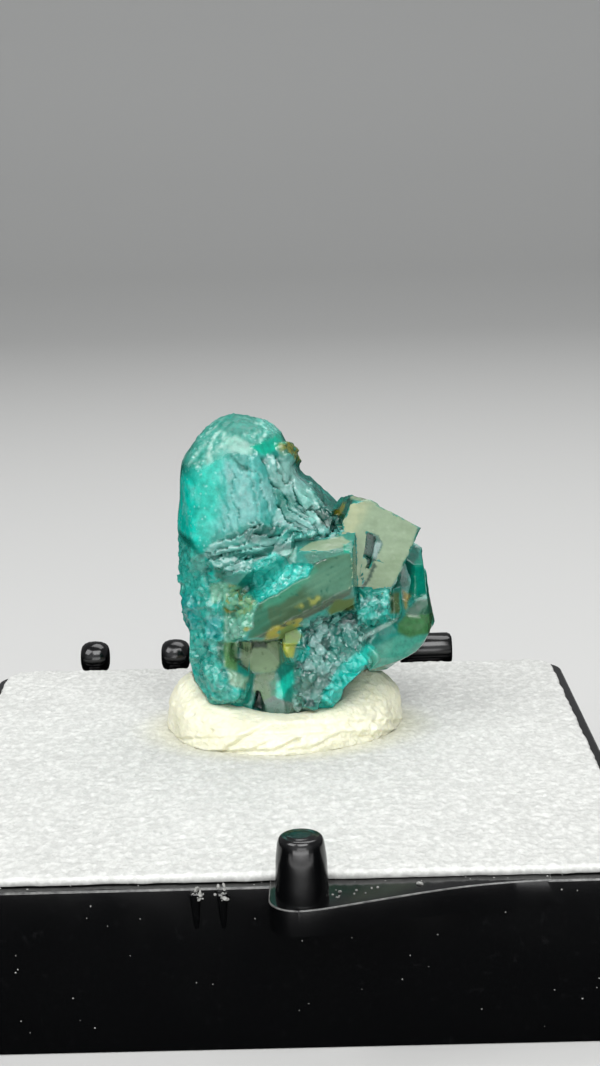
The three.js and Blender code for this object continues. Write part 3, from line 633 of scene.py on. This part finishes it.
# Long prism: pale grey-green face going olive at the foot, ochre crumbs along its lower edge, a strip
# on its upper side painted beige as a painted reflection, and a broken hollow at its shoulder painted
# bright turquoise as a painted glow of light through the crystal, with painted sparkle and painted shade in
# its creases.
prism = drawn([(-0.49, 14.74), (1.11, 15.6), (2.19, 16.64), (3.94, 17.25), (4.21, 16.47), (3.95, 14.98),
               (2.71, 14.3), (-0.25, 12.93), (-1.13, 12.89), (-0.8, 14.21)], soft=0.12, ragged=0.04)
paint(prism, (60, 84, 60), 0.2)
patch([(1.2, 15.62), (2.54, 16.63), (3.94, 17.19), (4.3, 16.47), (3.99, 15.04), (2.72, 14.72)],
      (78, 114, 94), 0.14, soft=0.8)
patch([(-1.17, 12.92), (-0.82, 14.33), (-0.14, 14.58), (-0.01, 13.4)], (40, 100, 80), 0.2, amount=0.8)
paint(prism * drawn([(-0.48, 14.8), (1.11, 15.66), (2.19, 16.7), (2.39, 16.25), (1.27, 15.05),
                     (-0.33, 14.32)], soft=0.3) * 0.7, (56, 132, 106), 0.18)
paint(prism * drawn([(-0.36, 13.35), (1.08, 14.34), (2.72, 14.93), (3.95, 15.1), (3.94, 14.68),
                     (2.7, 14.18), (1.52, 13.73), (-0.26, 12.84)], soft=0.4) * 0.55, (44, 60, 32), 0.25)
paint(prism * np.clip(1.6 * grating, 0, 1) * 0.3, (58, 84, 58), 0.24)
paint(prism * np.clip(-1.6 * grating, 0, 1) * 0.2, (120, 146, 116), 0.16)
paint(prism * np.clip(2.4 * speck - 0.9, 0, 1), (22, 82, 66), 0.15)
paint(drawn([(-0.43, 12.7), (0.11, 13.46), (1.53, 13.85), (1.58, 13.5), (0.57, 13.05), (-0.26, 12.6)])
      * np.clip(0.9 + 1.6 * fleck, 0, 1), (172, 152, 44), 0.4)
paint(drawn([(1.08, 14.4), (2.02, 14.85), (2.72, 14.95), (2.6, 14.6), (1.78, 14.38)])
      * np.clip(2 * fleck, 0, 1) * 0.75, (148, 142, 66), 0.35)
stub = drawn([(2.77, 14.29), (3.18, 14.7), (4.3, 14.91), (4.16, 14.26), (3.4, 13.98), (2.87, 13.87)])
paint(stub, (88, 102, 52), 0.35)
patch([(1.62, 17.13), (3.6, 17.34), (4.09, 17.6), (4.24, 17.06), (2.77, 16.89), (2.07, 16.52)],
      (74, 130, 112), 0.18, soft=0.1)
# Painted glow in the hollow, brighter than its shade allows, with painted sparkle and painted shade in its
# creases.
paint(hollow, (30, 196, 182), 0.14)
paint(hollow * np.clip(-2 * shard_tone - 0.5, 0, 1), (14, 150, 138), 0.1)
patch([(-0.48, 16.71), (0.45, 16.81), (0.9, 16.2), (0.05, 15.15), (-0.65, 15.05)], (90, 214, 198), 0.14,
      amount=0.3, soft=0.4)
paint(hollow * np.clip(2.6 * speck - 0.2, 0, 1), (120, 226, 212), 0.14)
patch([(0.64, 17.16), (1.4, 17.49), (1.32, 16.6), (0.91, 16.73)], (156, 196, 184), 0.12, soft=0.1)
paint(blocks, (104, 172, 144), 0.22)
paint(blocks * np.clip(2 * cube_tone - 0.2, 0, 1), (126, 168, 120), 0.2)
paint(blocks * np.clip(2.6 * fleck - 0.5, 0, 1), (160, 146, 60), 0.35)
patch([(-2.35, 13.89), (-1.45, 13.99), (-1.48, 13.02), (-2.35, 12.78)], (122, 178, 156), 0.2, soft=0.1)
# Left column and foot: mottled turquoise, dark spots painted as the shade of hollows, and pale sugar with
# painted glints.
paint(left, (42, 160, 146), 0.3)
patch([(-2.99, 16.42), (-2.22, 16.64), (-2.02, 15.92), (-2.61, 15.58)], (26, 112, 96), 0.2, soft=0.3)
paint(left * np.clip(1.6 * lump_tone, 0, 1), (84, 186, 170), 0.24)
paint(left * np.clip(2.4 * fleck, 0, 1) * 0.75, (4, 116, 106), 0.24)
paint(left * np.clip(1.8 * blotch - 0.2, 0, 1), (4, 184, 170), 0.16)
paint(left * np.clip(2.4 * speck - 0.7, 0, 1), (120, 190, 176), 0.3)
patch([(-4.6, 15.27), (-3.68, 15.01), (-3.63, 13.56), (-3.99, 13.33), (-4.6, 13.95)], (10, 150, 144), 0.16,
      soft=0.4)
patch([(-3.26, 13.92), (-2.56, 14.02), (-2.48, 12.93), (-3.18, 12.95)], (10, 150, 146), 0.14, soft=0.4)
patch([(-2.24, 11.4), (-1.24, 10.83), (-1.38, 10.28), (-2.1, 10.54)], (162, 190, 164), 0.2)
patch([(-2.94, 15.65), (-2, 15.73), (-2.12, 14.87), (-2.85, 14.81)], (128, 188, 160), 0.25, soft=0.15)
# Recess under the prism, with its flat face painted beige-olive as a painted reflection, a painted shadow
# along its top under the prism's lower edge, and the small yellow crystal.
patch([(-2.4, 12.68), (-1.65, 12.66), (-1.75, 11.21), (-2.39, 11.47)], (104, 146, 92), 0.25)
patch([(-2.72, 12.81), (-2.39, 12.8), (-2.44, 11.59), (-2.7, 11.72)], (28, 104, 84), 0.25)
recess = drawn([(-1.61, 12.7), (0.44, 12.83), (0.53, 11.75), (0.16, 11.16), (-0.9, 11.06), (-1.59, 11.63)])
paint(recess, (136, 154, 114), 0.18)
paint(recess * np.clip(3 * speck - 1.1, 0, 1), (96, 110, 80), 0.2)
# Painted shadow: the prism's lower edge shades the top of the beige face.
shade = drawn([(-1.66, 12.85), (0.56, 12.85), (0.55, 12.41), (-1.68, 12.28)], soft=0.15)
paint(recess * shade, (44, 68, 42), 0.25)
patch([(-0.9, 11.06), (0.16, 11.16), (-0.13, 9.3), (-0.61, 9.1), (-0.99, 10.21)], (118, 140, 104), 0.3)
patch([(0.4, 13.33), (1.05, 13.6), (1.56, 12.94), (1.0, 11.92), (0.71, 11.85), (0.44, 12.73)],
      (112, 132, 62), 0.6, soft=0.1)
patch([(0.5, 12.61), (1.32, 12.58), (1.0, 11.92), (0.71, 11.85)], (188, 182, 68), 0.4)
# Lower right: grey-green sugar of small crystals with painted glints and painted shade in its creases, a dark
# hollow painted as shade, bright cyan facet and band.
paint(sugar, (72, 148, 134), 0.22)
paint(sugar * np.clip(2 * grain_tone, 0, 1), (126, 172, 164), 0.14)
paint(sugar * np.clip(2.4 * grain_tone - 0.9, 0, 1) * 0.5, (176, 202, 198), 0.14)
paint(sugar * np.clip(3.2 * glint - 1.1, 0, 1), (208, 226, 222), 0.14)
paint(sugar * np.clip(-2 * grain_tone - 0.1, 0, 1), (10, 76, 70), 0.1)
paint(sugar * np.clip(2.4 * speck - 0.8, 0, 1), (140, 180, 172), 0.25)
patch([(2.9, 12.78), (3.73, 13.36), (4.42, 12.74), (3.7, 11.91), (3.0, 12.05)], (36, 124, 112), 0.12,
      amount=0.6, soft=0.5)
patch([(1.25, 12.22), (1.96, 12.57), (1.94, 11.96), (1.35, 11.67)], (30, 186, 172), 0.14)
patch([(0.96, 10.46), (1.92, 11.29), (2.8, 10.96), (2.6, 10.17), (1.64, 9.71)], (84, 126, 116), 0.2, soft=0.4)
patch([(0.02, 10.55), (0.98, 11.19), (1.02, 10.58), (0.34, 9.56), (0.02, 9.79)], (26, 214, 192), 0.16)
patch([(-0.19, 10.55), (0.27, 10.97), (0.11, 9.81), (-0.12, 9.94)], (26, 128, 92), 0.16)
band = drawn([(2.04, 9.0), (3.21, 11.13), (4.65, 12.43), (5.14, 12.3), (4.8, 11.4), (3.54, 10.21),
              (3.2, 9.0)])
paint(band, (2, 188, 174), 0.4)
paint(band * np.clip(2.4 * speck - 0.7, 0, 1) * 0.6, (96, 206, 200), 0.3)
patch([(4.2, 11.7), (4.7, 12.4), (5.12, 12.3), (4.85, 11.5), (4.5, 11.25)], (0, 206, 188), 0.5)
# Right side: knot under the block with painted sparkle and painted shade in its creases, clear green lobe
# with an olive stain and a white crack.
paint(knot, (70, 184, 170), 0.18)
paint(knot * np.clip(-2 * crust_tone - 0.3, 0, 1), (10, 118, 108), 0.12)
paint(knot * np.clip(2.4 * speck - 0.3, 0, 1), (150, 214, 206), 0.2)
patch([(5.96, 14.99), (6.47, 15.12), (6.34, 13.96), (5.94, 13.97)], (80, 98, 62), 0.25)
patch([(6.48, 15.27), (6.94, 14.84), (6.69, 14.19), (6.54, 14.61)], (162, 130, 30), 0.35)
patch([(4.63, 11.52), (6.18, 12.82), (8.3, 13.25), (7.8, 12.0), (6.15, 11.0), (5.33, 10.9)], (78, 158, 138),
      0.14)
patch([(4.75, 11.88), (5.35, 12.47), (6.05, 12.46), (5.69, 11.62), (4.86, 11.4)], (110, 176, 156), 0.16,
      amount=0.7, soft=0.3)
patch([(6.19, 13.48), (6.9, 14.18), (8.1, 13.97), (7.92, 12.95), (6.88, 12.65), (6.27, 12.99)],
      (74, 122, 76), 0.12)
patch([(6.61, 13.95), (6.9, 14.24), (7.26, 14.83), (7.96, 14.93), (8.06, 13.97), (7.36, 13.81)],
      (8, 92, 66), 0.45, soft=0.15)
patch([(4.36, 12.74), (5.37, 13.34), (6.31, 13.76), (6.33, 13.6), (5.42, 13.14), (4.42, 12.56)],
      (186, 214, 204), 0.25, soft=0.1, ragged=0.05)
patch([(6.47, 16.4), (6.9, 16.63), (6.97, 15.32), (6.45, 15.21)], (10, 108, 92), 0.4)
patch([(6.92, 16.99), (7.7, 16.6), (8.0, 14.82), (7.14, 14.48), (6.89, 15.2)], (6, 142, 120), 0.1)
patch([(-0.57, 9.71), (-0, 9.88), (0.93, 9.48), (0.97, 8.93), (-0.51, 8.87)], (116, 126, 120), 0.3, soft=0.12)
# Painted shadow along the lower edge of the foot where it meets the putty.
patch([(-1.08, 10.19), (-0.76, 9.96), (-0.43, 9.11), (0.92, 9.03), (1.98, 9.1), (1.97, 8.72), (-0.51, 8.75),
       (-0.96, 9.35)], (10, 74, 66), 0.25, amount=0.8, soft=0.14)
# Painted shade inside the gap at the foot.
paint(gap, (8, 58, 50), 0.3)
patch([(-0.66, 9.52), (0.23, 9.69), (0.92, 9.24), (2.57, 9.13), (2.56, 8.7), (-0.63, 8.79)], (92, 122, 108),
      0.3)
# Block: dark sides with ochre in the corner, and smooth flat faces painted beige as a painted reflection of
# pale surroundings.
patch([(3.24, 19.21), (4.0, 19.89), (4.29, 19.83), (3.63, 18.5), (3.39, 18.38)], (30, 88, 72), 0.14)
patch([(3.32, 19.21), (3.83, 19.67), (3.76, 19.2), (3.46, 18.85)], (160, 140, 46), 0.3, soft=0.1)
block = drawn([(4.1, 20.1), (5.15, 20.0), (7.6, 18.4), (6.2, 15.0), (4.0, 14.8), (3.3, 18.2)],
              ragged=0)[corner]
block *= turned_to(5, 9)
strip = drawn([(1.51, 17.31), (2.1, 17.71), (3.61, 17.96), (4.04, 17.66), (3.6, 17.37), (2.08, 17.06)],
              soft=0.1, ragged=0.06)[corner] * turned_to(-12, 72, 24)
recess = recess[corner] * turned_to(-8, 8)
dullness = np.maximum.reduce([block, strip, recess, prism[corner] * turned_to(-10, 18), stub[corner]])
# Painted reflection: the flat faces of the block and the strip are painted beige.
paint(np.maximum(block, strip), (140, 150, 122), 0.16)
paint(block * drawn([(3.62, 18.14), (4, 19.66), (4.47, 20), (5.15, 19.86), (4.67, 18.82), (4.19, 17.89)],
                    soft=0.6)[corner] * 0.7, (182, 172, 134), 0.18)
paint(block * drawn([(4.9, 14.9), (4.9, 16.1), (5.6, 16.6), (6.6, 17.3), (6.5, 15.1)], soft=0.8)[corner]
      * 0.5, (118, 130, 98), 0.2)
paint(block * np.clip(0.9 * blotch, 0, 1)[corner], (128, 138, 110), 0.22)
paint(block * np.clip(1.8 * speck - 0.4, 0, 1)[corner] * 0.25, (176, 180, 158), 0.14)
paint(block * np.clip(1.6 * brushed, 0, 1)[corner] * 0.2, (126, 136, 110), 0.2)
paint(block * np.clip(-1.6 * brushed, 0, 1)[corner] * 0.15, (176, 182, 154), 0.16)
patch([(4, 19.84), (4.41, 20.06), (5.04, 19.89), (6.29, 19.13), (6.12, 18.96), (5.03, 19.63),
       (4.35, 19.71)], (150, 160, 132), 0.2, soft=0.1, ragged=0.05)
pit = drawn([(4.89, 18.11), (5.4, 17.92), (5.63, 17.5), (5.26, 16.68), (4.85, 16.45), (4.73, 17.16)],
            soft=0.08, ragged=0.03)
paint(pit, (20, 92, 76), 0.3)
patch([(5.14, 16.58), (5.29, 16.44), (4.88, 15.61), (4.57, 15.26), (4.5, 15.36), (4.79, 15.71)],
      (52, 74, 58), 0.2, soft=0.06, ragged=0.04)
patch([(5.17, 17.63), (5.57, 17.56), (5.26, 16.79), (4.98, 16.92)], (136, 156, 150), 0.12, soft=0.1,
      ragged=0.05)
chips = drawn([(7.38, 18.3), (7.95, 18.4), (7.3, 16.7), (6.4, 15.0), (5.98, 15.2), (6.88, 17.0)], soft=0.12,
              ragged=0.1)
paint(chips[corner] * 0.9, (34, 104, 92), 0.1)
patch([(3.66, 17.57), (4.09, 17.48), (4.01, 17.01), (3.71, 17.1)], (4, 150, 122), 0.08, soft=0.1)
dullness *= 1 - np.maximum(chips, pit)[corner]
DEEPENED = (0.71, 0.85, 0.845)
colour *= np.array(DEEPENED)

mineral = mesh.color_attributes.new("mineral_colour", "FLOAT_COLOR", "CORNER")
mineral.data.foreach_set("color", np.hstack([colour, np.ones((len(colour), 1))]).ravel())
gloss = mesh.attributes.new("polish", "FLOAT", "CORNER")
gloss.data.foreach_set("value", polish)
mesh.polygons.foreach_set("material_index", (dullness.reshape(-1, 3).mean(axis=1) > 0.5).astype(np.int32))

# Both finishes share the painted colours; the dulled finish, on the faces painted with the beige reflection
# and on the prism face and stub, is duller, evener and lets no light in.
for material, face, specular, dark, light, grainy in ((glassy, glass_face, 0.5, 0.74, 1.22, 0.3),
                                                      (dulled, dulled_face, 0.2, 0.9, 1.06, 0.15)):
    place = wired(material, "TexCoord", {}).outputs["Object"]
    painted = wired(material, "Attribute", {}, attribute_name="mineral_colour").outputs["Color"]
    sheen = wired(material, "Attribute", {}, attribute_name="polish").outputs["Fac"]
    mottle = speckle(material, place, 3400, 5, Roughness=0.65)
    depth = ranged(material, mottle, 0.3, 0.7, dark, light)
    feed(material, face, {
        "IOR": 1.66, "Specular IOR Level": specular,
        "Base Color": wired(material, "VectorMath", {0: painted, "Scale": depth},
                            operation="SCALE").outputs["Vector"],
        "Roughness": wired(material, "Math", {0: sheen, 1: depth}, operation="MULTIPLY").outputs["Value"],
        "Normal": bumped(material, mottle, grainy, 0.05)})
feed(glassy, glass_face, {
    "Transmission Weight": 0.18, "Subsurface Weight": 0.3, "Subsurface Scale": 1.0,
    "Subsurface Radius": (0.3 * MM, 1.1 * MM, 0.9 * MM)})
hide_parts("dioptase_cluster")
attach(cluster, "root")

# Mounting putty: cream mineral tack rolled between the fingers, set down on the foam as a thick
# ring and pressed up against the foot of the stone, which it holds upright. The roll is twisted, so
# it shows long slanting folds in front, a torn rough end at the right and small pits.
RING_FOOT, RING_HIGH, RING_DIP = 7.62, 2.85, 1.3
putty_profile = [(0, 0), (0.5, 0), (0.8, 0), (1.045, 0), (1.05, 0.06), (1.05, 0.2), (1.045, 0.36),
                 (1.03, 0.5), (1.0, 0.64), (0.95, 0.78), (0.88, 0.9), (0.8, 0.97), (0.72, 1.0),
                 (0.62, 0.98), (0.52, 0.92), (0.4, 0.84), (0.25, 0.78), (0.12, 0.75), (0, 0.74)]
ring = turned([Vector((r, 0, h)) for r, h in putty_profile], (0, 0, 0), (0, 0, 1), 120)
bmesh.ops.subdivide_edges(ring, edges=[e for e in ring.edges if e.calc_length() > 0.035], cuts=2,
                          use_grid_fill=True, smooth=0.0)
bmesh.ops.subdivide_edges(ring, edges=[e for e in ring.edges if e.calc_length() > 0.018 and
                                       min(v.co.y for v in e.verts) < 0.2], cuts=1, use_grid_fill=True)
FOLDS = [((-2.58, 7.04), (-1.43, 7.82), 0.16, 0.22), ((-1.61, 7.74), (-0.17, 8.4), 0.16, 0.2),
         ((-0.12, 6.98), (1.41, 7.68), 0.15, 0.17), ((-1.28, 7.01), (-0.07, 7.6), 0.14, 0.1),
         ((1.81, 7.05), (3.37, 7.88), 0.14, 0.11)]
PITS = [((1.21, 7.5), 0.12, 0.25), ((-3.71, 8.57), 0.1, 0.16), ((-4.05, 9.06), 0.08, 0.1),
        ((-3.19, 8.17), 0.09, 0.12)]
stone_tree = BVHTree.FromObject(cluster, bpy.context.evaluated_depsgraph_get())
for v in ring.verts:
    x, y, h = v.co
    angle = math.atan2(y, x)
    front = max(0.0, -math.sin(angle)) ** 0.8
    high = RING_HIGH - RING_DIP * front
    lump = 1 + 0.03 * math.sin(3 * angle + 0.7) + 0.015 * math.sin(7 * angle)
    p = Vector((RING_X + (RING_LEFT if x < 0 else RING_RIGHT) * x * lump, RING_Y + RING_DEEP * y * lump,
                RING_FOOT + high * h))
    out = Vector((x, y, 0.4 * h))
    if h > 0.03 and out.length > 0.3:
        out.normalize()
        soft = (0.10 * noise.noise(p * 0.8) + 0.06 * noise.noise(p * 2.1) + 0.035 * noise.noise(p * 4.6)
                + 0.032 * noise.noise(p * 9))
        torn = max(0.0, min(1.0, (p.x - 3.6) / 1.2)) * max(0.0, min(1.0, (3.6 - p.y) / 1.5))
        soft += torn * (0.14 * noise.noise(p * 2.6) - 0.16 * max(0.0, noise.noise(p * 4.2)))
        if p.y < 4:
            onto = (SIGHT_PLANE - EYE.y) / (p.y - EYE.y)
            across = Vector((EYE.x + (p.x - EYE.x) * onto, EYE.z + (p.z - EYE.z) * onto))
            for a, b, width, deep in FOLDS:
                a, b = Vector(a), Vector(b)
                along = max(0.0, min(1.0, (across - a).dot(b - a) / (b - a).length_squared))
                gap = across - a - (b - a) * along
                fade = math.sin(math.pi * (0.12 + 0.76 * along))
                lap = gap.y / width
                soft += deep * fade * (math.exp(-((lap - 1.1) ** 2)) * 0.6 - math.exp(-(lap * 1.6) ** 2))
            for centre, radius, deep in PITS:
                soft -= deep * math.exp(-((across - Vector(centre)).length / radius) ** 2)
        p += out * soft
    p *= MM
    under = stone_tree.ray_cast(Vector((p.x, p.y, RING_FOOT * MM)), (0, 0, 1))[0]
    if under is not None:
        p.z = max(RING_FOOT * MM, min(p.z, under.z - 0.02 * MM))
    v.co = p
cream, putty_face = new_material("cream_putty")
place = wired(cream, "TexCoord", {}).outputs["Object"]
knead = speckle(cream, place, 620, 6)
feed(cream, putty_face, {
    "Subsurface Weight": 0.3, "Subsurface Radius": (0.6 * MM, 0.5 * MM, 0.3 * MM), "Subsurface Scale": 1.0,
    "Base Color": tinted(cream, knead, (0.70, 0.688, 0.515), (0.80, 0.788, 0.62), 0.3, 0.62),
    "Roughness": ranged(cream, knead, 0, 1, 0.42, 0.72),
    "Normal": bumped(cream, speckle(cream, place, 4200, 4), 0.6, 0.12)})
putty = finished("cream_putty_ring", ring, cream, 60)
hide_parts("mounting_putty")
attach(putty, "root")

# Stage: a plain pale sweep of paper that curves up behind, soft studio light from large boxes and a few
# small cards, and a camera at the photograph's viewing angle.
sweep = bmesh.new()
edge = [sweep.edges.new([sweep.verts.new((x, -3, 0)) for x in (-3, 3)])]
path = [(0.30, 0.0), (0.40, 0.006), (0.48, 0.03), (0.54, 0.08), (0.57, 0.15), (0.58, 0.25), (0.58, 0.7)]
for y, z in path:
    grown = bmesh.ops.extrude_edge_only(sweep, edges=edge)["geom"]
    edge = [g for g in grown if isinstance(g, bmesh.types.BMEdge)]
    for v in grown:
        if isinstance(v, bmesh.types.BMVert):
            v.co.y, v.co.z = y, z
paper, paper_face = new_material("pale_paper_sweep")
feed(paper, paper_face, {"Base Color": (0.55, 0.55, 0.54, 1), "Roughness": 0.9})
bmesh.ops.recalc_face_normals(sweep, faces=sweep.faces)
pale_sweep = finished("pale_sweep", sweep, paper, 60)
pale_sweep.visible_glossy = False


def soft_light(name, place, target, size, power):
    lamp = bpy.data.lights.new(name, "AREA")
    lamp.shape = "RECTANGLE"
    lamp.size, lamp.size_y = size
    lamp.energy = power
    holder = bpy.data.objects.new(name, lamp)
    holder.location = place
    holder.rotation_euler = (Vector(target) - Vector(place)).to_track_quat("-Z", "Y").to_euler()
    holder.visible_camera = False
    bpy.context.scene.collection.objects.link(holder)


STONE_MIDDLE = (0, 0.003, 0.013)
soft_light("window_softbox", (0.04, -0.17, 0.24), STONE_MIDDLE, (0.2, 0.15), 0.56)
soft_light("left_softbox", (-0.165, -0.115, 0.235), STONE_MIDDLE, (0.16, 0.16), 0.41)
soft_light("top_softbox", (0.04, 0.09, 0.25), (0, 0.01, 0.01), (0.2, 0.14), 0.3)
soft_light("front_card", (0.02, -0.22, 0.045), STONE_MIDDLE, (0.16, 0.05), 0.06)
soft_light("low_card", (0.0015, -0.052, 0.0004), (0.0015, -0.0521, 0.1), (0.1, 0.01), 0.011)
soft_light("pin_card", (0.0015, -0.058, 0.0072), (0.0015, -0.018, 0.0095), (0.06, 0.006), 0.006)

world = bpy.data.worlds.new("soft_room")
world.use_nodes = True
around = wired(world, "TexCoord", {}).outputs["Generated"]
towards_sky = wired(world, "SeparateXYZ", {"Vector": around})
sky = ranged(world, towards_sky.outputs["Z"], -0.12, 0.25, 0.04, 0.95)
ahead = ranged(world, towards_sky.outputs["Y"], -0.35, -0.95, 0.25, 1.0, interpolation_type="SMOOTHSTEP")
feed(world, world.node_tree.nodes["Background"], {
    "Color": (0.96, 0.98, 1, 1),
    "Strength": wired(world, "Math", {0: sky, 1: ahead}, operation="MULTIPLY").outputs["Value"]})
bpy.context.scene.world = world
bpy.context.scene.view_settings.view_transform = "Standard"

lens = bpy.data.cameras.new("photo_camera")
lens.sensor_fit = "AUTO"
lens.sensor_width = 36
FOCAL_PIXELS, FRAME_PIXELS = 1806.19, 1066
lens.lens = lens.sensor_width * FOCAL_PIXELS / FRAME_PIXELS
lens.clip_start = 0.005
lens.clip_end = 5
camera = bpy.data.objects.new("photo_camera", lens)
right = Vector((0.99955, 0.00752, -0.02895))
up = Vector((0.02682, 0.20316, 0.97878))
back = right.cross(up)
camera.matrix_world = Matrix.Translation(EYE * MM) @ Matrix((right, up, back)).transposed().to_4x4()
bpy.context.scene.collection.objects.link(camera)
bpy.context.scene.camera = camera
